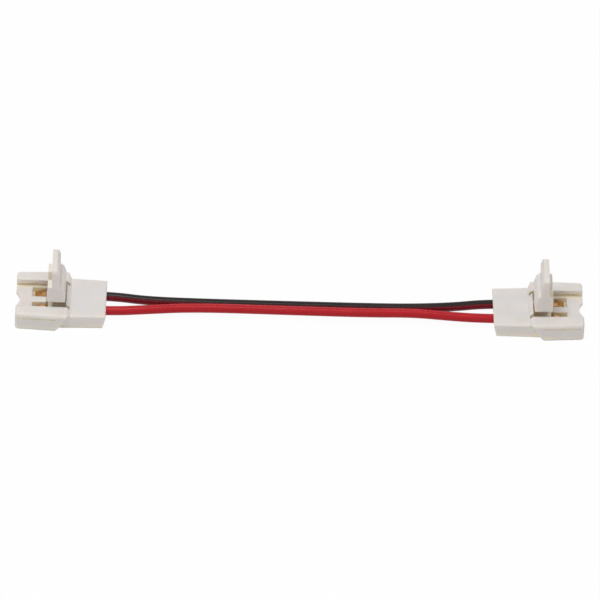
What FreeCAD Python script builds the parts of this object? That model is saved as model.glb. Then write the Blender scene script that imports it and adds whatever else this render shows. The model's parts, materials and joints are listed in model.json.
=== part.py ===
import FreeCAD, Part
import math
import os
import re

import Sketcher

# LED strip connector: two flip-lid sockets for a two-conductor light strip, joined by a
# bonded two-core wire. Millimetres, +Z up. X runs from the left socket to the right one,
# +Y is the side of the black wire, and the undersides rest on Z = 0.
# Each connector is drawn in its own frame: X = 0 at the outer end, X inward to the wire.

# How nearly an edge must lie along an axis, how near a place counts as at it, how far a cut
# reaches right across a connector, how far a cut runs past the face that it opens, and how
# much of a wire's shorter run each of its arcs takes
ALIGNED = 0.02
NEAR = 0.05
REACH = "20"
PAST = "1"
ARC_SHARE = 0.45

SIZES = {
    # whole object
    "overall_length": 100.0,
    "connector_turn": 1.4,
    # housing, socket half
    "connector_length": 16.0,
    "socket_width": 11.7,
    "side_taper": 0.63,
    "socket_height": 3.45,
    "socket_back": 7.1,
    "ramp_top": 9.0,
    "ramp_length": 0.65,
    "corner_lean": 0.588,
    "corner_bevel": 0.7,
    "shoulder_radius": 0.55,
    "end_corner_radius": 0.7,
    "floor_height": 2.0,
    "gap_width": 6.6,
    "strip_width": 8.2,
    "strip_slot": 0.6,
    "strip_stop": 5.3,
    "scallop_width": 3.7,
    "scallop_depth": 0.7,
    "mouth_lip": 0.8,
    "mouth_rebate": 0.9,
    "groove_front": 0.7,
    "groove_height": 2.4,
    "groove_tall": 0.22,
    "groove_deep": 0.22,
    # contact slots and the well under the lid
    "contact_pitch": 3.7,
    "slot_front": 2.85,
    "slot_width": 2.3,
    "slot_floor": 0.9,
    "slot_overlap": 0.5,
    "well_front": 5.35,
    "well_back": 8.9,
    "well_floor": 0.75,
    "relief_back": 9.45,
    "relief_width": 0.75,
    "relief_floor": 1.6,
    # housing, wire half
    "block_front": 7.8,
    "block_step": 1.75,
    "block_taper": 0.62,
    "block_height": 2.72,
    "block_edge_radius": 0.3,
    "end_draft": 0.6,
    "wire_height": 1.5,
    "wire_bore_clearance": 0.05,
    "wire_seat": 12.4,
    "crimp_cavity_radius": 0.95,
    "tongue_clearance": 0.1,
    # lid
    "axis_x": 6.15,
    "axis_height": 2.75,
    "trunnion_radius": 0.4,
    "trunnion_length": 0.7,
    "bearing_clearance": 0.05,
    "lid_width": 6.1,
    "barrel_radius": 0.8,
    "waist_height": 1.6,
    "waist_step": 2.0,
    "lid_height": 9.0,
    "tab_height": 5.0,
    "tab_under": 0.2,
    "tab_thickness": 1.35,
    "tab_bevel": 0.45,
    "tab_bevel_drop": 1.4,
    "tab_corner_radius": 0.7,
    "rib_depth": 0.75,
    "rib_gap": 2.0,
    "rib_foot": 1.5,
    "back_depth": 2.6,
    "back_neck": 0.25,
    "back_low": 0.55,
    "shoulder_run": 0.4,
    "shoulder_low": 0.25,
    "shoulder_drop": 1.7,
    # contacts
    "metal": 0.25,
    "contact_width": 1.5,
    "tongue_height": 1.0,
    "hump_height": 1.75,
    "hump_at": 4.9,
    "hump_flat": 0.7,
    "hump_ramp": 1.5,
    "bend_radius": 0.22,
    "contact_tip": 3.3,
    "tip_lift": 0.2,
    "crimp_front": 9.5,
    "crimp_length": 2.4,
    "crimp_slit": 0.3,
    "crimp_clearance": 0.01,
    "tongue_tail": 0.4,
    # wires
    "wire_diameter": 1.65,
    "core_diameter": 0.9,
    "core_end": 9.8,
    "mouth_run": 1.4,
}

doc = FreeCAD.newDocument("LedStripConnector")
sheet = doc.addObject("Spreadsheet::Sheet", "Sizes")
for row, (name, number) in enumerate(SIZES.items(), start=1):
    sheet.set(f"A{row}", name)
    sheet.set(f"B{row}", str(number))
    sheet.setAlias(f"B{row}", name)
working = doc.addObject("Spreadsheet::Sheet", "Working")
doc.recompute()


def cells(expression):
    """The expression with each size name written as a reference to its cell."""
    return re.sub("[a-z_]+", lambda word: f"Sizes.{word.group()}", expression)


def measure(expression):
    """The present value of an expression in the sizes."""
    working.set("A1", f"={cells(expression)}")
    working.recompute()
    result = working.get("A1")
    return float(getattr(result, "Value", result))


def new_body(label):
    body = doc.addObject("PartDesign::Body", label)
    body.Label = label
    return body


def plane_of(body, role):
    return next(item for item in body.Origin.OriginFeatures if item.Role == role)


def new_sketch(body, role, offset=None):
    """A sketch on one of the body's origin planes, moved along its normal by an expression."""
    sketch = body.newObject("Sketcher::SketchObject", f"{body.Label}_sketch")
    sketch.AttachmentSupport = (plane_of(body, role), [""])
    sketch.MapMode = "FlatFace"
    if offset:
        sketch.setExpression("AttachmentOffset.Base.z", cells(offset))
    return sketch


def polygon(sketch, corners):
    """A closed outline; each corner is held at its place by two expressions."""
    first = sketch.GeometryCount
    count = len(corners)
    points = [FreeCAD.Vector(measure(x), measure(y), 0) for x, y in corners]
    for index, point in enumerate(points):
        sketch.addGeometry(Part.LineSegment(point, points[(index + 1) % count]))
    for index in range(count):
        following = first + (index + 1) % count
        sketch.addConstraint(Sketcher.Constraint("Coincident", first + index, 2, following, 1))
    for index, (corner, point) in enumerate(zip(corners, points)):
        hold_point(sketch, first + index, 1, corner, point)


def hold_point(sketch, geometry, position, place, point):
    for kind, expression, number in zip(("DistanceX", "DistanceY"), place, point):
        constraint = Sketcher.Constraint(kind, -1, 1, geometry, position, number)
        index = sketch.addConstraint(constraint)
        sketch.setExpression(f"Constraints[{index}]", cells(expression))


def circle(sketch, centre, radius):
    point = FreeCAD.Vector(measure(centre[0]), measure(centre[1]), 0)
    normal = FreeCAD.Vector(0, 0, 1)
    geometry = sketch.addGeometry(Part.Circle(point, normal, measure(radius)))
    hold_point(sketch, geometry, 3, centre, point)
    index = sketch.addConstraint(Sketcher.Constraint("Radius", geometry, measure(radius)))
    sketch.setExpression(f"Constraints[{index}]", cells(radius))


def feature(body, kind, sketch, length, midplane=False, reverse=False, lean=None):
    """A pad or pocket of the sketch, its length bound to an expression."""
    item = body.newObject(f"PartDesign::{kind}", f"{body.Label}_{kind.lower()}")
    item.Profile = sketch
    item.Midplane = midplane
    item.Reversed = reverse
    if lean:
        item.UseCustomVector = True
        item.Direction = lean
        item.AlongSketchNormal = False
    item.setExpression("Length", cells(length))
    doc.recompute()
    return item


def both_sides(corners):
    """The outline and its mirror image across the connector's middle plane."""
    return [corners, [(x, f"-( {y} )") for x, y in corners]]


def round_edges(body, base, radius, chosen):
    """A fillet on the edges of the base feature whose middle point is chosen."""
    names = []
    for number, edge in enumerate(base.Shape.Edges, start=1):
        middle = edge.valueAt((edge.FirstParameter + edge.LastParameter) / 2)
        if chosen(edge, middle):
            names.append(f"Edge{number}")
    item = body.newObject("PartDesign::Fillet", f"{body.Label}_fillet")
    item.Base = (base, names)
    item.setExpression("Radius", cells(radius))
    doc.recompute()
    return item


def runs_along(edge, axis):
    ends = [vertex.Point for vertex in edge.Vertexes]
    if len(ends) < 2:
        return False
    direction = (ends[1] - ends[0]).normalize()
    return abs(abs(direction[axis]) - 1) < ALIGNED


# Housing
def add_socket(body):
    side = new_sketch(body, "XZ_Plane")
    polygon(side, [
        ("0", "0"),
        ("ramp_top", "0"),
        ("ramp_top + ramp_length", "block_height"),
        ("ramp_top", "socket_height"),
        ("0", "socket_height"),
    ])
    feature(body, "Pad", side, "socket_width", midplane=True)
    plan = new_sketch(body, "XY_Plane")
    for corners in both_sides([
        ("0", "( socket_width - side_taper ) / 2"),
        ("socket_back", "socket_width / 2"),
        ("socket_back", "socket_width"),
        ("0", "socket_width"),
    ]):
        polygon(plan, corners)
    feature(body, "Pocket", plan, REACH, midplane=True)
    corner = new_sketch(body, "XY_Plane")
    for corners in both_sides([
        ("socket_back", "socket_width / 2"),
        ("socket_back + corner_bevel", "( socket_width - block_step ) / 2"),
        ("connector_length", "( socket_width - block_step ) / 2"),
        ("connector_length", "socket_width"),
        ("socket_back", "socket_width"),
    ]):
        polygon(corner, corners)
    leaning = FreeCAD.Vector(measure("corner_lean"), 0, 1)
    return feature(body, "Pocket", corner, "socket_height * 2", lean=leaning)


def add_block(body):
    plan = new_sketch(body, "XY_Plane")
    polygon(plan, [
        ("block_front", "-( socket_width - block_step ) / 2"),
        ("connector_length", "-( socket_width - block_step - block_taper ) / 2"),
        ("connector_length", "( socket_width - block_step - block_taper ) / 2"),
        ("block_front", "( socket_width - block_step ) / 2"),
    ])
    feature(body, "Pad", plan, "block_height")
    end = new_sketch(body, "XZ_Plane")
    polygon(end, [
        ("connector_length - end_draft", "0"),
        (f"connector_length + {PAST}", "0"),
        (f"connector_length + {PAST}", "block_height"),
        ("connector_length", "block_height"),
    ])
    return feature(body, "Pocket", end, REACH, midplane=True)


def round_housing(body, base):
    half_socket = measure("( socket_width - side_taper ) / 2")
    top = measure("socket_height")
    block_top = measure("block_height")
    last = measure("connector_length - end_draft")
    corners = round_edges(
        body, base, "end_corner_radius",
        lambda edge, middle: runs_along(edge, 2) and abs(middle.x) < NEAR,
    )
    shoulders = round_edges(
        body, corners, "shoulder_radius",
        lambda edge, middle: runs_along(edge, 0)
        and abs(middle.z - top) < NEAR
        and abs(middle.y) > half_socket - NEAR,
    )
    return round_edges(
        body, shoulders, "block_edge_radius",
        lambda edge, middle: (runs_along(edge, 0) or abs(middle.x - last) < measure("end_draft") + NEAR)
        and abs(middle.z - block_top) < NEAR
        and middle.x > measure("ramp_top + ramp_length"),
    )


def cut_channel(body):
    gap = new_sketch(body, "XZ_Plane")
    polygon(gap, [
        (f"-{PAST}", "floor_height"),
        ("well_back", "floor_height"),
        ("well_back", f"socket_height + {PAST}"),
        (f"-{PAST}", f"socket_height + {PAST}"),
    ])
    feature(body, "Pocket", gap, "gap_width", midplane=True)
    under = new_sketch(body, "XZ_Plane")
    polygon(under, [
        (f"-{PAST}", "floor_height"),
        ("strip_stop", "floor_height"),
        ("strip_stop", "floor_height + strip_slot"),
        (f"-{PAST}", "floor_height + strip_slot"),
    ])
    feature(body, "Pocket", under, "strip_width", midplane=True)
    well = new_sketch(body, "XZ_Plane")
    polygon(well, [
        ("well_front", "well_floor"),
        ("well_back", "well_floor"),
        ("well_back", "socket_height"),
        ("well_front", "socket_height"),
    ])
    return feature(body, "Pocket", well, "gap_width", midplane=True)


def cut_slots(body):
    slots = new_sketch(body, "XY_Plane", "slot_floor")
    inner = "( contact_pitch - slot_width ) / 2"
    outer = "( contact_pitch + slot_width ) / 2"
    for corners in both_sides([
        ("slot_front", inner),
        ("well_front + slot_overlap", inner),
        ("well_front + slot_overlap", outer),
        ("slot_front", outer),
    ]):
        polygon(slots, corners)
    feature(body, "Pocket", slots, "socket_height", reverse=True)
    reliefs = new_sketch(body, "XY_Plane", "relief_floor")
    for corners in both_sides([
        ("well_back - slot_overlap", "gap_width / 2 - relief_width"),
        ("relief_back", "gap_width / 2 - relief_width"),
        ("relief_back", "gap_width / 2"),
        ("well_back - slot_overlap", "gap_width / 2"),
    ]):
        polygon(reliefs, corners)
    return feature(body, "Pocket", reliefs, "socket_height", reverse=True)


def cut_mouth(body):
    """A finger scallop in the floor's front edge, which is a thin lip there."""
    under = new_sketch(body, "XZ_Plane")
    polygon(under, [
        (f"-{PAST}", f"-{PAST}"),
        ("mouth_rebate", f"-{PAST}"),
        ("mouth_rebate", "floor_height - mouth_lip"),
        (f"-{PAST}", "floor_height - mouth_lip"),
    ])
    feature(body, "Pocket", under, "strip_width", midplane=True)
    scallop = new_sketch(body, "XY_Plane")
    radius = "( scallop_width * scallop_width / 4 + scallop_depth * scallop_depth ) / scallop_depth / 2"
    circle(scallop, (f"scallop_depth - {radius}", "0"), radius)
    return feature(body, "Pocket", scallop, "floor_height * 2", midplane=True)


def cut_grooves(body):
    groove = new_sketch(body, "XY_Plane", "groove_height")
    for corners in both_sides([
        ("groove_front", "( socket_width - side_taper ) / 2 - groove_deep"),
        ("socket_back", "socket_width / 2 - groove_deep"),
        ("socket_back", "socket_width"),
        ("groove_front", "socket_width"),
    ]):
        polygon(groove, corners)
    return feature(body, "Pocket", groove, "groove_tall", reverse=True)


def cut_bearings(body):
    bearing = new_sketch(body, "XZ_Plane")
    circle(bearing, ("axis_x", "axis_height"), "trunnion_radius + bearing_clearance")
    length = "lid_width + 2 * trunnion_length + 4 * bearing_clearance"
    return feature(body, "Pocket", bearing, length, midplane=True)


def cut_wire_ways(body):
    wires = new_sketch(body, "YZ_Plane", f"connector_length + {PAST}")
    crimps = new_sketch(body, "YZ_Plane", "wire_seat")
    tongues = new_sketch(body, "XY_Plane", "well_floor")
    for side in ("-", ""):
        centre = (f"{side}contact_pitch / 2", "wire_height")
        circle(wires, centre, "wire_diameter / 2 + wire_bore_clearance")
        circle(crimps, centre, "crimp_cavity_radius")
    inner = "( contact_pitch - contact_width ) / 2 - tongue_clearance"
    outer = "( contact_pitch + contact_width ) / 2 + tongue_clearance"
    for corners in both_sides([
        ("well_back - slot_overlap", inner),
        ("crimp_front + slot_overlap", inner),
        ("crimp_front + slot_overlap", outer),
        ("well_back - slot_overlap", outer),
    ]):
        polygon(tongues, corners)
    feature(body, "Pocket", wires, f"connector_length + {PAST} - wire_seat")
    feature(body, "Pocket", crimps, "wire_seat - crimp_front + tongue_clearance")
    return feature(body, "Pocket", tongues, "wire_height - well_floor", reverse=True)


def make_housing(label):
    body = new_body(label)
    add_socket(body)
    base = add_block(body)
    round_housing(body, base)
    cut_channel(body)
    cut_slots(body)
    cut_mouth(body)
    cut_grooves(body)
    cut_bearings(body)
    cut_wire_ways(body)
    return body


# Lid, drawn open and upright: its profile seen along the hinge axis, the gap between its
# ribs, the narrow waist at the axis and the trunnion pin through it
def make_lid(label):
    body = new_body(label)
    profile = new_sketch(body, "XZ_Plane")
    outline = [
        ("-barrel_radius", "0"),
        ("tab_under - rib_depth", "rib_foot"),
        ("tab_under - rib_depth", "tab_height"),
        ("tab_under", "tab_height"),
        ("tab_under", "lid_height"),
        ("tab_under + tab_thickness - tab_bevel", "lid_height"),
        ("tab_under + tab_thickness", "lid_height - tab_bevel_drop"),
        ("tab_under + tab_thickness", "tab_height + back_neck"),
        ("back_depth - shoulder_run", "tab_height - shoulder_low"),
        ("back_depth", "tab_height - shoulder_drop"),
        ("back_depth", "-back_low"),
        ("0", "-barrel_radius"),
    ]
    polygon(profile, [(f"axis_x + ( {x} )", f"axis_height + ( {z} )") for x, z in outline])
    feature(body, "Pad", profile, "lid_width", midplane=True)
    barrel = new_sketch(body, "XZ_Plane")
    circle(barrel, ("axis_x", "axis_height"), "barrel_radius")
    blank = feature(body, "Pad", barrel, "lid_width", midplane=True)
    tab_top = measure("axis_height + lid_height - tab_bevel_drop")
    rounded = round_edges(
        body, blank, "tab_corner_radius",
        lambda edge, middle: runs_along(edge, 0) and middle.z > tab_top,
    )
    relief = new_sketch(body, "XZ_Plane")
    gap = [
        (f"-barrel_radius - {PAST}", "barrel_radius"),
        ("tab_under", "barrel_radius"),
        ("tab_under", f"tab_height + {PAST}"),
        (f"-barrel_radius - {PAST}", f"tab_height + {PAST}"),
    ]
    polygon(relief, [(f"axis_x + ( {x} )", f"axis_height + ( {z} )") for x, z in gap])
    feature(body, "Pocket", relief, "rib_gap", midplane=True)
    waist = new_sketch(body, "XY_Plane", "axis_height + waist_height")
    for corners in both_sides([
        (f"axis_x - barrel_radius - {PAST}", "lid_width / 2 - waist_step"),
        (f"axis_x + back_depth + {PAST}", "lid_width / 2 - waist_step"),
        (f"axis_x + back_depth + {PAST}", f"lid_width / 2 + {PAST}"),
        (f"axis_x - barrel_radius - {PAST}", f"lid_width / 2 + {PAST}"),
    ]):
        polygon(waist, corners)
    feature(body, "Pocket", waist, "axis_height + waist_height")
    trunnion = new_sketch(body, "XZ_Plane")
    circle(trunnion, ("axis_x", "axis_height"), "trunnion_radius")
    feature(body, "Pad", trunnion, "lid_width + 2 * trunnion_length", midplane=True)
    return body


# Spring contact: crimp barrel round the conductor, tongue under the lid, hump in the slot
def make_contact(label):
    body = new_body(label)
    strip = new_sketch(body, "XZ_Plane")
    under = [
        ("crimp_front + tongue_tail", "tongue_height"),
        ("hump_at + hump_ramp", "tongue_height"),
        ("hump_at + hump_flat / 2", "hump_height"),
        ("hump_at - hump_flat / 2", "hump_height"),
        ("contact_tip", "tongue_height + tip_lift"),
    ]
    top = [(x, z) for x, z in reversed(under)]
    polygon(strip, [(x, f"{z} - metal") for x, z in under] + top)
    blank = feature(body, "Pad", strip, "contact_width", midplane=True)
    low = measure("tongue_height - metal")
    bent = round_edges(
        body, blank, "bend_radius",
        lambda edge, middle: runs_along(edge, 1)
        and measure("contact_tip") + NEAR < middle.x < measure("crimp_front")
        and middle.z > low + NEAR,
    )
    barrel = new_sketch(body, "YZ_Plane", "crimp_front")
    circle(barrel, ("0", "wire_height"), "core_diameter / 2 + metal")
    feature(body, "Pad", barrel, "crimp_length")
    hollow = new_sketch(body, "YZ_Plane", f"crimp_front - {PAST}")
    circle(hollow, ("0", "wire_height"), "core_diameter / 2 + crimp_clearance")
    feature(body, "Pocket", hollow, f"crimp_length + 2 * {PAST}", reverse=True)
    slit = new_sketch(body, "XZ_Plane")
    polygon(slit, [
        (f"crimp_front - {PAST}", "wire_height"),
        (f"crimp_front + crimp_length + {PAST}", "wire_height"),
        (f"crimp_front + crimp_length + {PAST}", "wire_height + core_diameter"),
        (f"crimp_front - {PAST}", "wire_height + core_diameter"),
    ])
    feature(body, "Pocket", slit, "crimp_slit", midplane=True)
    return body


# Where each connector lies: turned a little, outer end back, about its own middle
def connector_place(side, across=0.0):
    turn = measure("connector_turn")
    if side == "left":
        angle, centre = -turn, -1
    else:
        angle, centre = 180 + turn, 1
    middle = measure("connector_length") / 2
    turning = FreeCAD.Rotation(FreeCAD.Vector(0, 0, 1), angle)
    reach = measure("overall_length") / 2 - middle
    start = FreeCAD.Vector(centre * reach, 0, 0)
    sign = 1 if side == "left" else -1
    return FreeCAD.Placement(start + turning.multVec(FreeCAD.Vector(-middle, sign * across, 0)), turning)


# The wires' route, as (place along X, offset across, height) at each turning point. The two
# wires leave the blocks apart, meet and run side by side, the red one a little higher.
RED_ROUTE = [
    (-37.60, -1.65, 1.50),
    (-32.60, -1.95, 1.50),
    (-27.10, -1.65, 1.60),
    (-18.50, -0.92, 1.66),
    (-3.00, -1.07, 1.55),
    (12.00, -1.37, 1.60),
    (20.00, -1.18, 1.66),
    (27.10, -1.85, 1.60),
    (32.60, -1.95, 1.50),
    (37.60, -1.65, 1.50),
]
BLACK_ROUTE = [
    (-37.60, 2.05, 1.50),
    (-32.60, 1.75, 1.50),
    (-27.10, 0.95, 1.28),
    (-18.50, 0.72, 1.22),
    (-3.00, 0.63, 1.12),
    (12.00, 0.47, 1.15),
    (20.00, 0.48, 1.22),
    (27.10, 0.92, 1.30),
    (32.60, 1.75, 1.50),
    (37.60, 2.05, 1.50),
]


def seated_route(route, across):
    """The route with its two ends laid in the wire bores."""
    points = [FreeCAD.Vector(*point) for point in route]
    seat = FreeCAD.Vector(measure("wire_seat"), 0, measure("wire_height"))
    mouth = FreeCAD.Vector(measure("connector_length + mouth_run"), 0, measure("wire_height"))
    for side, first, second in (("left", 0, 1), ("right", -1, -2)):
        place = connector_place(side, across)
        points[first] = place.multVec(seat)
        points[second] = place.multVec(mouth)
    return points


def rounded_path(points):
    """Straight runs joined by tangent arcs, as large as their runs allow."""
    edges = []
    radii = []
    start = points[0]
    for before, corner, after in zip(points, points[1:], points[2:]):
        back = before - corner
        ahead = after - corner
        shorter = min(back.Length, ahead.Length)
        back.normalize()
        ahead.normalize()
        half_turn = (math.pi - back.getAngle(ahead)) / 2
        tangent = ARC_SHARE * shorter
        radii.append(tangent / math.tan(half_turn))
        inward = (back + ahead).normalize()
        nearest = radii[-1] * (1 / math.cos(half_turn) - 1)
        arc_start = corner + back * tangent
        arc_end = corner + ahead * tangent
        edges.append(Part.LineSegment(start, arc_start).toShape())
        edges.append(Part.Arc(arc_start, corner + inward * nearest, arc_end).toShape())
        start = arc_end
    edges.append(Part.LineSegment(start, points[-1]).toShape())
    return Part.Wire(edges), radii


def make_wire(label, route, across):
    """The insulated wire, seat to seat."""
    path, radii = rounded_path(seated_route(route, across))
    first = path.Edges[0]
    radius = measure("wire_diameter / 2")
    ring = Part.Circle(first.valueAt(first.FirstParameter), first.tangentAt(first.FirstParameter), radius)
    wire = doc.addObject("Part::Feature", label)
    wire.Label = label
    wire.Shape = path.makePipeShell([Part.Wire([ring.toShape()])], True, True)
    share = wire.Shape.Volume / (math.pi * radius ** 2 * path.Length)
    print(label, "length", round(path.Length, 2), "smallest radius", round(min(radii), 1))
    print(label, "volume over section times length", round(share, 5))
    return wire


def make_core(label):
    """The bared end of a conductor, in its crimp."""
    body = new_body(label)
    end = new_sketch(body, "YZ_Plane", "core_end")
    circle(end, ("0", "wire_height"), "core_diameter / 2")
    feature(body, "Pad", end, "wire_seat - core_end")
    return body


def make_part():
    """Every sub-part of the object, each set in its place."""
    pieces = []
    spread = measure("contact_pitch / 2")
    for side in ("left", "right"):
        for make, name in ((make_housing, "housing"), (make_lid, "lid")):
            piece = make(f"{side}_{name}")
            piece.Placement = connector_place(side)
            pieces.append(piece)
        for colour, across in (("red", -spread), ("black", spread)):
            for make, name in ((make_contact, "contact"), (make_core, "core")):
                piece = make(f"{side}_{name}_{colour}")
                piece.Placement = connector_place(side, across)
                pieces.append(piece)
    pieces.append(make_wire("red_wire", RED_ROUTE, -spread))
    pieces.append(make_wire("black_wire", BLACK_ROUTE, spread))
    doc.recompute()
    return pieces


def write_part(pieces):
    """Checks the whole document, then writes each sub-part under its own name."""
    for item in doc.Objects:
        if "Invalid" in item.State or "Error" in item.State:
            raise RuntimeError(f"{item.Label} failed: {item.State}")
    for piece in pieces:
        shape = piece.Shape
        if shape.isNull() or not shape.isValid() or len(shape.Solids) != 1:
            raise RuntimeError(f"{piece.Label} has no sound solid")
    os.makedirs("parts", exist_ok=True)
    for piece in pieces:
        piece.Shape.exportStep(f"parts/{piece.Label}.step")
        print(piece.Label, round(piece.Shape.Volume, 3))


write_part(make_part())
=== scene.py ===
import json
import math

import bmesh
import bpy
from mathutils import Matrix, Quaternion, Vector


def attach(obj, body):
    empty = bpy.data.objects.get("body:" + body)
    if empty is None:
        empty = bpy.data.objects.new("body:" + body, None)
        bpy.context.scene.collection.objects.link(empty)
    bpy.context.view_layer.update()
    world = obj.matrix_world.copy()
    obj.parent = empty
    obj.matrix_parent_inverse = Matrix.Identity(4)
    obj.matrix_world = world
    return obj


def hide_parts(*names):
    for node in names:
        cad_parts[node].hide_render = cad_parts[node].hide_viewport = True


# LED strip connector: looks for two flip-lid strip sockets joined by a red and black wire.
# Metres, +Z up, the same frame as the CAD part.

MM = 0.001

# Camera, as the photograph's: nearly no perspective, seen from above the front
IMAGE_WIDTH = 600
PIXELS_PER_MM = 5.67
ORIGIN_PIXEL = (299.4, 312.8)
CAMERA_AZIMUTH = -1.6
CAMERA_ELEVATION = 44.0
CAMERA_ROLL = 2.27
CAMERA_DISTANCE = 2.0
CLIP_RATIO = 100
SENSOR_WIDTH = 36.0

# Nylon: base colours on open faces, a painted warm shade deep in slots, and what shines through
# it
NYLON_LIGHT = (0.815, 0.775, 0.75)
NYLON_DARK = (0.78, 0.735, 0.70)
# Painted warm shade for slots and corners
NYLON_PAINTED_CREVICE_TINT = (0.98, 0.88, 0.70)
NYLON_GLOW = (1.0, 0.80, 0.52)
NYLON_GLOW_SHARE = 0.8
NYLON_GLOW_REACH = 0.85 * MM
NYLON_ROUGHNESS = (0.40, 0.52)
NYLON_IOR = 1.53
NYLON_EDGE = 0.18 * MM
NYLON_CLOUDS = 260.0
NYLON_CLOUD_RANGE = (0.32, 0.68)
NYLON_GRAIN = 9000.0
NYLON_GRAIN_DEPTH = 0.004 * MM
NYLON_FLOW = (160.0, 620.0, 620.0)
NYLON_FLOW_DEPTH = 0.012 * MM
# Painted shade in slots and corners: how far the mask looks, and where the paint fades in
PAINTED_CREVICE_REACH = 1.6 * MM
PAINTED_CREVICE_RANGE = (0.35, 0.9)

# Contact metal
CONTACT_DARK = (0.45, 0.24, 0.095)
CONTACT_LIGHT = (0.70, 0.42, 0.19)
CONTACT_ROUGHNESS = (0.22, 0.42)
CONTACT_EDGE = 0.04 * MM
CONTACT_TARNISH = 1500.0
CONTACT_STREAKS = (900.0, 6500.0, 6500.0)
CONTACT_STREAK_DEPTH = 0.004 * MM

# Copper
COPPER_DARK = (0.62, 0.27, 0.14)
COPPER_LIGHT = (0.86, 0.46, 0.28)
COPPER_ROUGHNESS = (0.2, 0.35)
COPPER_STRANDS = (700.0, 9000.0, 9000.0)
COPPER_STRAND_DEPTH = 0.01 * MM

# Wire insulation, with painted shade on the red wire's lower front side and painted red bounce
# light from the red wire on the black wire's lower front side
RED_PVC = {
    "dark": (0.48, 0.009, 0.016),
    "light": (0.56, 0.013, 0.022),
    # Painted shade on the lower front side
    "painted_underside": (0.45, 0.008, 0.015),
    "glow": (1.0, 0.2, 0.1),
    "roughness": (0.22, 0.30),
}
BLACK_PVC = {
    "dark": (0.012, 0.006, 0.006),
    "light": (0.020, 0.009, 0.009),
    # Painted red bounce light from the red wire on the lower front side
    "painted_underside": (0.19, 0.005, 0.013),
    "glow": (1.0, 0.8, 0.7),
    "roughness": (0.24, 0.34),
}
PVC_SHINE = 0.2
PVC_GLOW_SHARE = 0.1
PVC_GLOW_REACH = 0.3 * MM
PVC_DRAG = (120.0, 3600.0, 3600.0)
PVC_DRAG_DEPTH = 0.006 * MM
PVC_PATCHES = (220.0, 700.0, 700.0)
# The lower front side that takes the painted shade and bounce light, and the fade of that paint
PAINTED_UNDERSIDE_DIRECTION = (0.0, -0.77, -0.64)
PAINTED_UNDERSIDE_FADE = (-0.1, 0.2)

# Wires, the route's points in millimetres as the CAD part has them, between the two mouths
WIRE_DIAMETER = 1.65
WIRE_HEIGHT = 1.5
WIRE_SEAT = 12.4
MOUTH = 17.4
CONTACT_PITCH = 3.7
CONNECTOR_MIDDLE = 8.0
CONNECTOR_REACH = 42.0
CONNECTOR_TURN = 1.4
RED_MIDDLE = [
    (-27.10, -1.65, 1.60),
    (-18.50, -0.92, 1.66),
    (-3.00, -1.07, 1.55),
    (12.00, -1.37, 1.60),
    (20.00, -1.18, 1.66),
    (27.10, -1.85, 1.60),
]
BLACK_MIDDLE = [
    (-27.10, 0.95, 1.28),
    (-18.50, 0.72, 1.22),
    (-3.00, 0.63, 1.12),
    (12.00, 0.47, 1.15),
    (20.00, 0.48, 1.22),
    (27.10, 0.92, 1.30),
]
CURVE_ORDER = 3
CURVE_STEPS = 24
ROUND_STEPS = 8

# Floor and light: lamps as name, place, size and power
FLOOR_SIZE = 4.0
FLOOR_WHITE = 0.93
FLOOR_ROUGHNESS = 0.9
SHADOW_SHARE = 0.04
WHITE = (1.0, 1.0, 1.0, 1.0)
WORLD_LIGHT = 0.47
LAMPS = [
    ("key", (-0.12, -0.02, 0.58), 0.16, 1.38),
    ("front", (0.1, -0.55, 0.35), 0.4, 0.2),
]

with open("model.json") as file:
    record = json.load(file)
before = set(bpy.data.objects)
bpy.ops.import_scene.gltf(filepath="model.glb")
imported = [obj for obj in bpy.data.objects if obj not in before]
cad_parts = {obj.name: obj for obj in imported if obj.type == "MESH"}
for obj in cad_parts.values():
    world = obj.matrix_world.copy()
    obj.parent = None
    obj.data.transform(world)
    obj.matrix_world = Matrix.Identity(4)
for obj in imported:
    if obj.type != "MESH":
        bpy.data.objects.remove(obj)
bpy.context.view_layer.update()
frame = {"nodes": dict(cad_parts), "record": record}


# Camera
def make_camera():
    azimuth = math.radians(CAMERA_AZIMUTH)
    elevation = math.radians(CAMERA_ELEVATION)
    back = Vector((
        math.sin(azimuth) * math.cos(elevation),
        -math.cos(azimuth) * math.cos(elevation),
        math.sin(elevation),
    ))
    data = bpy.data.cameras.new("camera")
    data.sensor_width = SENSOR_WIDTH
    view_width = IMAGE_WIDTH / PIXELS_PER_MM * MM
    data.lens = SENSOR_WIDTH * CAMERA_DISTANCE / view_width
    data.shift_x = (IMAGE_WIDTH / 2 - ORIGIN_PIXEL[0]) / IMAGE_WIDTH
    data.shift_y = (ORIGIN_PIXEL[1] - IMAGE_WIDTH / 2) / IMAGE_WIDTH
    data.clip_start = CAMERA_DISTANCE / CLIP_RATIO
    data.clip_end = CAMERA_DISTANCE * CLIP_RATIO
    camera = bpy.data.objects.new("camera", data)
    camera.location = back * CAMERA_DISTANCE
    camera.rotation_mode = "QUATERNION"
    roll = Quaternion((0.0, 0.0, 1.0), math.radians(CAMERA_ROLL))
    camera.rotation_quaternion = (-back).to_track_quat("-Z", "Y") @ roll
    bpy.context.scene.collection.objects.link(camera)
    bpy.context.scene.camera = camera


make_camera()


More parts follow.
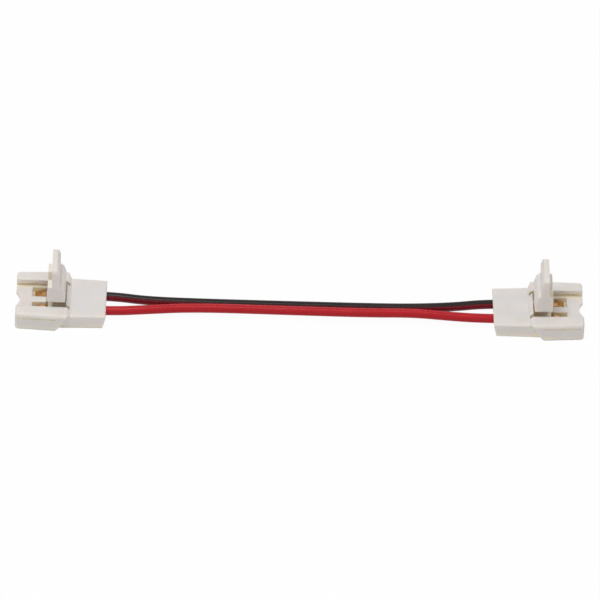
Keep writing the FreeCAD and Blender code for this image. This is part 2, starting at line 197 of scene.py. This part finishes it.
# Materials
class Nodes:
    """A material's node tree, with short ways to add and join nodes."""

    # The Mix node has sockets of one name for each kind of data, so its colour ones go by number
    MIX_FACTOR, MIX_LOW, MIX_HIGH, MIX_COLOUR = 0, 6, 7, 2
    PAINTED_CREVICE_SAMPLES = 8
    EDGE_SAMPLES = 6

    def __init__(self, name):
        self.material = bpy.data.materials.new(name)
        self.material.use_nodes = True
        self.tree = self.material.node_tree
        self.shader = self.tree.nodes["Principled BSDF"]

    def add(self, kind, inputs=None, **settings):
        node = self.tree.nodes.new(kind)
        for name, value in settings.items():
            setattr(node, name, value)
        for name, value in (inputs or {}).items():
            self.put(node.inputs[name], value)
        return node

    def put(self, socket, value):
        if isinstance(value, bpy.types.NodeSocket):
            self.tree.links.new(value, socket)
        else:
            socket.default_value = value

    def surface(self, **inputs):
        for name, value in inputs.items():
            self.put(self.shader.inputs[name.replace("_", " ")], value)

    def coordinates(self, kind):
        return self.add("ShaderNodeTexCoord").outputs[kind]

    def noise(self, vector, scale, detail):
        inputs = {"Vector": vector, "Scale": scale, "Detail": detail, "Roughness": 0.55}
        return self.add("ShaderNodeTexNoise", inputs).outputs["Fac"]

    def streaks(self, vector, scales, detail):
        """Noise with a scale of its own along each axis."""
        stretched = self.add("ShaderNodeMapping", {"Vector": vector, "Scale": scales})
        return self.noise(stretched.outputs["Vector"], 1.0, detail)

    def spread(self, factor, low, high, start=0.3, end=0.7):
        """A number from low to high, while the factor goes from start to end."""
        limits = {"From Min": start, "From Max": end, "To Min": low, "To Max": high}
        return self.add("ShaderNodeMapRange", {"Value": factor, **limits}).outputs["Result"]

    def shades(self, factor, dark, light, start=0.3, end=0.7):
        """A colour from dark to light, while the factor goes from start to end."""
        node = self.add("ShaderNodeValToRGB", {"Fac": factor})
        for element, place, colour in zip(node.color_ramp.elements, (start, end), (dark, light)):
            element.position = place
            element.color = (*colour, 1.0)
        return node.outputs["Color"]

    def blend(self, factor, low, high):
        """The colour low where the factor is zero, and the colour socket high where it is one."""
        node = self.add("ShaderNodeMix", data_type="RGBA")
        self.put(node.inputs[self.MIX_FACTOR], factor)
        self.put(node.inputs[self.MIX_LOW], (*low, 1.0))
        self.put(node.inputs[self.MIX_HIGH], high)
        return node.outputs[self.MIX_COLOUR]

    def painted_crevice_mask(self, reach, limits):
        """A mask for painted shade: one on open surfaces, towards zero in slots and corners."""
        node = self.add(
            "ShaderNodeAmbientOcclusion", {"Distance": reach}, samples=self.PAINTED_CREVICE_SAMPLES,
        )
        return self.spread(node.outputs["AO"], 0.0, 1.0, *limits)

    def off_painted_underside(self, painted_direction, limits):
        """A mask for painted shade and bounce light: zero on the side that faces the painted
        direction, one on the rest.
        """
        facing = self.add("ShaderNodeVectorMath", operation="DOT_PRODUCT")
        self.put(facing.inputs[0], self.coordinates("Normal"))
        self.put(facing.inputs[1], painted_direction)
        return self.spread(facing.outputs["Value"], 1.0, 0.0, *limits)

    def bump(self, height, depth, normal=None):
        inputs = {"Height": height, "Strength": 1.0, "Distance": depth}
        if normal is not None:
            inputs["Normal"] = normal
        return self.add("ShaderNodeBump", inputs).outputs["Normal"]

    def soft_edge(self, radius):
        node = self.add("ShaderNodeBevel", {"Radius": radius}, samples=self.EDGE_SAMPLES)
        return node.outputs["Normal"]


def nylon(name):
    """Moulded off-white nylon: satin, translucent, with faint flow clouds, a fine skin and a
    painted warm shade in slots and corners.
    """
    made = Nodes(name)
    place = made.coordinates("Object")
    clouds = made.noise(place, NYLON_CLOUDS, detail=4.0)
    grain = made.noise(place, NYLON_GRAIN, detail=2.0)
    flow = made.streaks(place, NYLON_FLOW, detail=3.0)
    shade = made.shades(clouds, NYLON_DARK, NYLON_LIGHT, *NYLON_CLOUD_RANGE)
    skin = made.bump(grain, NYLON_GRAIN_DEPTH, made.soft_edge(NYLON_EDGE))
    # The base colour goes to a painted warm shade in slots and corners.
    made.surface(
        Base_Color=made.blend(made.painted_crevice_mask(PAINTED_CREVICE_REACH, PAINTED_CREVICE_RANGE), NYLON_PAINTED_CREVICE_TINT, shade),
        Roughness=made.spread(grain, *NYLON_ROUGHNESS),
        Normal=made.bump(flow, NYLON_FLOW_DEPTH, skin),
        Subsurface_Weight=NYLON_GLOW_SHARE,
        Subsurface_Radius=NYLON_GLOW,
        Subsurface_Scale=NYLON_GLOW_REACH,
        IOR=NYLON_IOR,
    )
    return made.material


def contact_metal(name):
    """Stamped copper alloy: rolled streaks, slightly tarnished."""
    made = Nodes(name)
    place = made.coordinates("Object")
    streaks = made.streaks(place, CONTACT_STREAKS, detail=2.0)
    tarnish = made.noise(place, CONTACT_TARNISH, detail=4.0)
    made.surface(
        Base_Color=made.shades(tarnish, CONTACT_DARK, CONTACT_LIGHT),
        Metallic=1.0,
        Roughness=made.spread(streaks, *CONTACT_ROUGHNESS),
        Normal=made.bump(streaks, CONTACT_STREAK_DEPTH, made.soft_edge(CONTACT_EDGE)),
    )
    return made.material


def copper(name):
    """Bare conductor, with the lines of its strands."""
    made = Nodes(name)
    strands = made.streaks(made.coordinates("Object"), COPPER_STRANDS, detail=1.0)
    made.surface(
        Base_Color=made.shades(strands, COPPER_DARK, COPPER_LIGHT),
        Metallic=1.0,
        Roughness=made.spread(strands, *COPPER_ROUGHNESS),
        Normal=made.bump(strands, COPPER_STRAND_DEPTH),
    )
    return made.material


def pvc(name, dark, light, painted_underside, glow, roughness):
    """Extruded insulation: glossy, with drag lines, dull patches and a painted colour on the
    lower front side: shade on the red wire, red bounce light on the black.
    """
    made = Nodes(name)
    place = made.coordinates("Object")
    drag = made.streaks(place, PVC_DRAG, detail=2.0)
    patches = made.streaks(place, PVC_PATCHES, detail=3.0)
    shade = made.shades(patches, dark, light)
    # The lower front side takes the painted colour: shade on the red wire, red bounce light from
    # the red wire on the black.
    made.surface(
        Base_Color=made.blend(made.off_painted_underside(PAINTED_UNDERSIDE_DIRECTION, PAINTED_UNDERSIDE_FADE), painted_underside, shade),
        Roughness=made.spread(patches, *roughness),
        Normal=made.bump(drag, PVC_DRAG_DEPTH),
        Specular_IOR_Level=PVC_SHINE,
        Subsurface_Weight=PVC_GLOW_SHARE,
        Subsurface_Radius=glow,
        Subsurface_Scale=PVC_GLOW_REACH,
    )
    return made.material


MATERIALS = {
    "nylon": nylon("nylon_moulded"),
    "contact_metal": contact_metal("contact_metal_stamped"),
    "copper": copper("copper_bare"),
    "red_pvc": pvc("red_pvc_extruded", **RED_PVC),
    "black_pvc": pvc("black_pvc_extruded", **BLACK_PVC),
}


def dress(piece, slot):
    piece.data.materials.clear()
    piece.data.materials.append(MATERIALS[slot])


def dress_cad_nodes():
    """Each CAD node's slot in the record says which material it takes."""
    for part in frame["record"]["subparts"]:
        dress(frame["nodes"][part["node"]], part["material_slot"])


dress_cad_nodes()


# Wires
def connector_point(side, along, across):
    """A point on a wire's line in a connector, from that connector's outer end."""
    turn = math.radians(CONNECTOR_TURN)
    angle, sign = (-turn, -1) if side == "left" else (math.pi + turn, 1)
    x = along - CONNECTOR_MIDDLE
    y = across if side == "left" else -across
    return (
        sign * CONNECTOR_REACH + x * math.cos(angle) - y * math.sin(angle),
        x * math.sin(angle) + y * math.cos(angle),
        WIRE_HEIGHT,
    )


def wire_route(middle, across):
    left = [connector_point("left", along, across) for along in (WIRE_SEAT, MOUTH)]
    right = [connector_point("right", along, across) for along in (MOUTH, WIRE_SEAT)]
    return [Vector(point) * MM for point in left + middle + right]


def make_wire(colour, middle, across):
    """One wire's insulation, a smooth curve in place of the CAD part's plain wire."""
    name, slot = f"{colour}_insulation", f"{colour}_pvc"
    route = wire_route(middle, across)
    data = bpy.data.curves.new(name, "CURVE")
    data.dimensions = "3D"
    spline = data.splines.new("NURBS")
    spline.points.add(len(route) - 1)
    for point, place in zip(spline.points, route):
        point.co = (*place, 1.0)
    spline.order_u = CURVE_ORDER
    spline.use_endpoint_u = True
    spline.resolution_u = CURVE_STEPS
    data.bevel_depth = WIRE_DIAMETER / 2 * MM
    data.bevel_resolution = ROUND_STEPS
    data.use_fill_caps = True
    piece = bpy.data.objects.new(name, data)
    bpy.context.scene.collection.objects.link(piece)
    dress(piece, slot)
    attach(piece, "connector_body")
    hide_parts(f"{colour}_wire")


make_wire("red", RED_MIDDLE, -CONTACT_PITCH / 2)
make_wire("black", BLACK_MIDDLE, CONTACT_PITCH / 2)


# Floor and light
def white_to_camera(tree):
    """One for rays from the camera, and for those off mirrors and through glass."""
    paths = tree.nodes.new("ShaderNodeLightPath")
    seen = paths.outputs["Is Camera Ray"]
    for ray in ("Is Glossy Ray", "Is Transmission Ray"):
        both = tree.nodes.new("ShaderNodeMath")
        both.operation = "MAXIMUM"
        tree.links.new(seen, both.inputs[0])
        tree.links.new(paths.outputs[ray], both.inputs[1])
        seen = both.outputs[0]
    return seen


def mix_into(tree, factor, plain, bright, output):
    """The output shows the plain shader, and the bright one by the factor's share."""
    mix = tree.nodes.new("ShaderNodeMixShader")
    tree.links.new(factor, mix.inputs[0])
    tree.links.new(plain.outputs[0], mix.inputs[1])
    tree.links.new(bright.outputs[0], mix.inputs[2])
    tree.links.new(mix.outputs[0], tree.nodes[output].inputs["Surface"])


def floor_material():
    """White for the camera, with a small share left for the object's shadow."""
    material = bpy.data.materials.new("floor")
    material.use_nodes = True
    tree = material.node_tree
    plain = tree.nodes["Principled BSDF"]
    plain.inputs["Base Color"].default_value = (FLOOR_WHITE, FLOOR_WHITE, FLOOR_WHITE, 1.0)
    plain.inputs["Roughness"].default_value = FLOOR_ROUGHNESS
    glow = tree.nodes.new("ShaderNodeEmission")
    share = tree.nodes.new("ShaderNodeMath")
    share.operation = "MULTIPLY"
    share.inputs[1].default_value = 1 - SHADOW_SHARE
    tree.links.new(white_to_camera(tree), share.inputs[0])
    mix_into(tree, share.outputs[0], plain, glow, "Material Output")
    return material


def make_floor():
    mesh = bpy.data.meshes.new("floor")
    made = bmesh.new()
    bmesh.ops.create_grid(made, x_segments=1, y_segments=1, size=FLOOR_SIZE / 2)
    made.to_mesh(mesh)
    made.free()
    mesh.materials.append(floor_material())
    floor = bpy.data.objects.new("floor", mesh)
    bpy.context.scene.collection.objects.link(floor)


def make_world():
    world = bpy.data.worlds.new("studio")
    world.use_nodes = True
    tree = world.node_tree
    dim = tree.nodes["Background"]
    dim.inputs["Color"].default_value = WHITE
    dim.inputs["Strength"].default_value = WORLD_LIGHT
    bright = tree.nodes.new("ShaderNodeBackground")
    bright.inputs["Color"].default_value = WHITE
    mix_into(tree, white_to_camera(tree), dim, bright, "World Output")
    bpy.context.scene.world = world


def make_lamp(name, place, size, power):
    """A square lamp, turned to the object."""
    data = bpy.data.lights.new(name, "AREA")
    data.shape = "SQUARE"
    data.size = size
    data.energy = power
    lamp = bpy.data.objects.new(name, data)
    lamp.location = place
    lamp.rotation_mode = "QUATERNION"
    lamp.rotation_quaternion = (-Vector(place)).to_track_quat("-Z", "Y")
    bpy.context.scene.collection.objects.link(lamp)


make_floor()
make_world()
for lamp in LAMPS:
    make_lamp(*lamp)

bpy.context.scene.view_settings.view_transform = "Standard"
